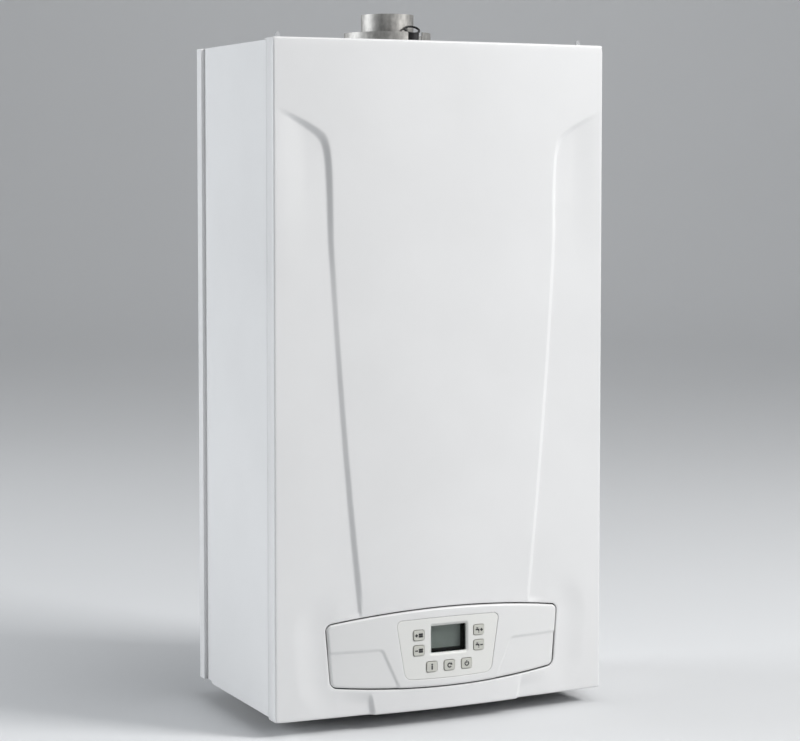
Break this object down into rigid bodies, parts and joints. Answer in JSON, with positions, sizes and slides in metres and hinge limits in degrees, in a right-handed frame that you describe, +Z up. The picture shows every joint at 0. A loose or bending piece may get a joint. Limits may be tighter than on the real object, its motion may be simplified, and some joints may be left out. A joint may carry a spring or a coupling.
{
  "type": "wall-hung gas boiler with plate heat exchanger",
  "caption": "Wall-hung gas combi boiler in a bowed white case with a display console, flue stub and a brazed plate heat exchanger inside.",
  "frame": {"origin": "on the wall plane, in the middle of the lower edge of the rear frame", "axes": "+Z up, +Y from the boiler into the wall, +X to the right of someone who faces the boiler; the front faces -Y"},
  "size_m": [0.4, 0.2462, 0.783],
  "materials": {
    "white_enamel": "satin white powder coat",
    "white_plastic": "satin white moulded plastic",
    "keypad_plastic": "fine matt off-white plastic",
    "button_plastic": "soft satin off-white plastic",
    "display": "unlit grey-green liquid crystal display in a dark frame",
    "clear_window": "clear flat pane",
    "galvanised": "galvanised steel sheet",
    "zinc_screw": "zinc-plated steel",
    "cast_aluminium": "matt scratched aluminium",
    "stainless": "stainless steel with copper-brazed seams",
    "brass": "hot-stamped brass, machined at the seats",
    "copper": "drawn copper, lightly oxidised",
    "black_plastic": "matt black plastic",
    "black_rubber": "matt black rubber",
    "grey_plastic": "glass-filled grey plastic",
    "red_enamel": "red paint on pressed steel",
    "pump_paint": "dark grey paint on cast housing",
    "fibre_board": "pale ceramic fibre board",
    "circuit": "green lacquered circuit board",
    "red_plastic": "red plastic",
    "blue_plastic": "blue plastic"
  },
  "bodies": {
    "boiler": {"air_pressure_switch": "grey_plastic", "burner": "stainless", "burner_manifold": "galvanised", "chamber_lid": "galvanised", "chamber_shell": "galvanised", "combustion_chamber": "fibre_board", "console_fascia": "white_plastic", "console_screws": "zinc_screw", "control_board": "circuit", "control_box": "grey_plastic", "electrodes": "fibre_board", "expansion_vessel": "red_enamel", "fan_housing": "galvanised", "fan_motor": "pump_paint", "flow_group": "brass", "flow_pipe": "copper", "flue_collar": "cast_aluminium", "flue_hood": "galvanised", "flue_spigot": "cast_aluminium", "gas_pipe": "copper", "gas_riser": "copper", "gas_valve": "cast_aluminium", "hanging_rail": "galvanised", "heat_exchanger_end_plates": "stainless", "heat_exchanger_plates": "stainless", "heat_exchanger_screws": "zinc_screw", "heat_exchanger_seals": "black_rubber", "hook_pegs": "galvanised", "keypad_plate": "keypad_plastic", "lcd_module": "display", "lcd_window": "clear_window", "lid_seal": "black_rubber", "pipe_bracket": "galvanised", "primary_exchanger": "copper", "pump_body": "grey_plastic", "pump_motor": "pump_paint", "rear_frame": "white_enamel", "return_group": "brass", "return_pipe": "copper", "sampling_cap": "black_rubber", "side_panel_left": "white_enamel", "side_panel_right": "white_enamel", "sight_glass": "clear_window", "top_panel": "galvanised", "valve_actuator": "black_plastic"},
    "cover": {"front_cover": "white_enamel", "cover_screws": "zinc_screw"},
    "fan_rotor": {"fan_impeller": "galvanised"},
    "pump_rotor": {"pump_impeller": "black_plastic"},
    "turbine_rotor": {"flow_turbine": "blue_plastic"},
    "spindle": {"valve_spindle": "stainless"},
    "relief_knob": {"safety_valve_knob": "red_plastic"},
    "filling_knob": {"filling_tap_knob": "blue_plastic"},
    "button_heat_down": {"button_heat_down": "button_plastic"},
    "button_heat_up": {"button_heat_up": "button_plastic"},
    "button_info": {"button_info": "button_plastic"},
    "button_reset": {"button_reset": "button_plastic"},
    "button_standby": {"button_standby": "button_plastic"},
    "button_water_down": {"button_water_down": "button_plastic"},
    "button_water_up": {"button_water_up": "button_plastic"}
  },
  "joints": [
    {"name": "cover_slide", "type": "slide", "parent": "boiler", "child": "cover", "axis": [0, -1, 0], "range_m": [0, 0.3]},
    {"name": "fan_spin", "type": "hinge", "parent": "boiler", "child": "fan_rotor", "pos_m": [0.036, -0.104, 0.66], "axis": [0, -1, 0], "continuous": true},
    {"name": "pump_spin", "type": "hinge", "parent": "boiler", "child": "pump_rotor", "pos_m": [0.14, -0.102, 0.205], "axis": [0, -1, 0], "continuous": true},
    {"name": "turbine_spin", "type": "hinge", "parent": "boiler", "child": "turbine_rotor", "pos_m": [0.065, -0.094, 0.03], "axis": [0, 0, 1], "continuous": true},
    {"name": "spindle_shift", "type": "slide", "parent": "boiler", "child": "spindle", "axis": [0, 0, 1], "range_m": [0, 0.006]},
    {"name": "relief_turn", "type": "hinge", "parent": "boiler", "child": "relief_knob", "pos_m": [0.0975, -0.1325, 0.096], "axis": [0, -1, 0], "range_deg": [0, 90]},
    {"name": "filling_turn", "type": "hinge", "parent": "boiler", "child": "filling_knob", "pos_m": [0.0975, -0.094, 0], "axis": [0, 0, 1], "range_deg": [0, 270]},
    {"name": "button_heat_down_press", "type": "slide", "parent": "boiler", "child": "button_heat_down", "axis": [0, 1, 0], "range_m": [0, 0.0012], "stiffness_N_per_m": 400, "springref_m": -0.0002},
    {"name": "button_heat_up_press", "type": "slide", "parent": "boiler", "child": "button_heat_up", "axis": [0, 1, 0], "range_m": [0, 0.0012], "stiffness_N_per_m": 400, "springref_m": -0.0002},
    {"name": "button_info_press", "type": "slide", "parent": "boiler", "child": "button_info", "axis": [0, 1, 0], "range_m": [0, 0.0012], "stiffness_N_per_m": 400, "springref_m": -0.0002},
    {"name": "button_reset_press", "type": "slide", "parent": "boiler", "child": "button_reset", "axis": [0, 1, 0], "range_m": [0, 0.0012], "stiffness_N_per_m": 400, "springref_m": -0.0002},
    {"name": "button_standby_press", "type": "slide", "parent": "boiler", "child": "button_standby", "axis": [0, 1, 0], "range_m": [0, 0.0012], "stiffness_N_per_m": 400, "springref_m": -0.0002},
    {"name": "button_water_down_press", "type": "slide", "parent": "boiler", "child": "button_water_down", "axis": [0, 1, 0], "range_m": [0, 0.0012], "stiffness_N_per_m": 400, "springref_m": -0.0002},
    {"name": "button_water_up_press", "type": "slide", "parent": "boiler", "child": "button_water_up", "axis": [0, 1, 0], "range_m": [0, 0.0012], "stiffness_N_per_m": 400, "springref_m": -0.0002}
  ]
}
